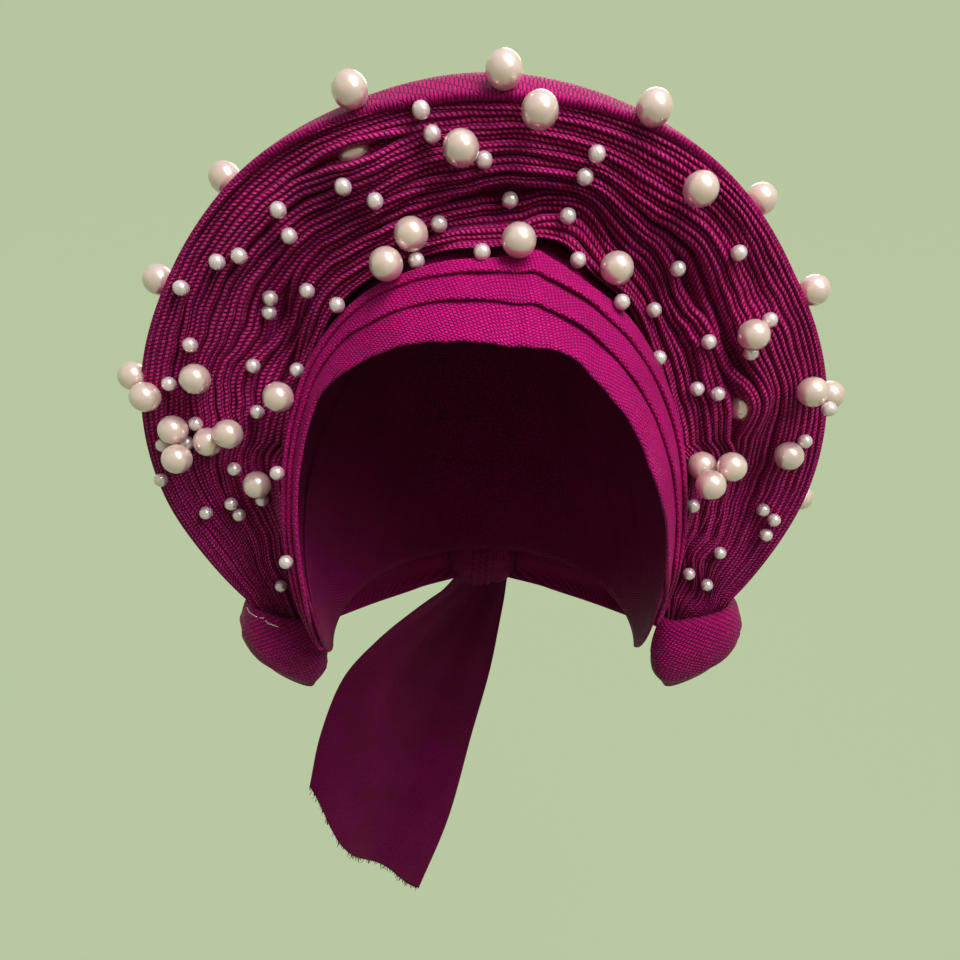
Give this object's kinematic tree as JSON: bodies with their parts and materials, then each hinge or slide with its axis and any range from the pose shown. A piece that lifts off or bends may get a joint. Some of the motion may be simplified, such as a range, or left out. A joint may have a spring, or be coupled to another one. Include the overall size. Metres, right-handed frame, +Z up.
{
  "type": "pre-tied gele head tie",
  "caption": "Pre-tied gele of woven magenta cloth: a broad fan of fine pleats round an open cap, a folded front band, side wraps, a nape knot with a hanging tail, and sewn-on pearls.",
  "frame": {"origin": "crown seat: the inside top of the cap, where it sits on the wearer's crown", "axes": "+Z up out of the crown, -Y towards the front where the face looks out, +X to the right as seen from the front"},
  "size_m": [0.2443, 0.1754, 0.4129],
  "materials": {
    "cloth": "coarse woven, matt",
    "pearl": "ivory, lustrous"
  },
  "bodies": {
    "root": {"fan_pleats": "cloth", "crown_cap": "cloth", "back_cover": "cloth", "band_fold_lower": "cloth", "band_fold_middle": "cloth", "band_fold_upper": "cloth", "side_wrap_left": "cloth", "side_wrap_right": "cloth", "nape_knot": "cloth", "tail": "cloth", "pearl_01": "pearl", "pearl_02": "pearl", "pearl_03": "pearl", "pearl_04": "pearl", "pearl_05": "pearl", "pearl_06": "pearl", "pearl_07": "pearl", "pearl_08": "pearl", "pearl_09": "pearl", "pearl_10": "pearl", "pearl_11": "pearl", "pearl_12": "pearl", "pearl_13": "pearl", "pearl_14": "pearl", "pearl_15": "pearl", "pearl_16": "pearl", "pearl_17": "pearl", "pearl_18": "pearl", "pearl_19": "pearl", "pearl_20": "pearl", "pearl_21": "pearl", "pearl_22": "pearl", "pearl_23": "pearl", "pearl_24": "pearl", "pearl_25": "pearl", "pearl_26": "pearl", "pearl_27": "pearl", "pearl_28": "pearl", "pearl_29": "pearl", "pearl_30": "pearl", "pearl_31": "pearl", "pearl_32": "pearl", "pearl_33": "pearl"}
  },
  "joints": []
}
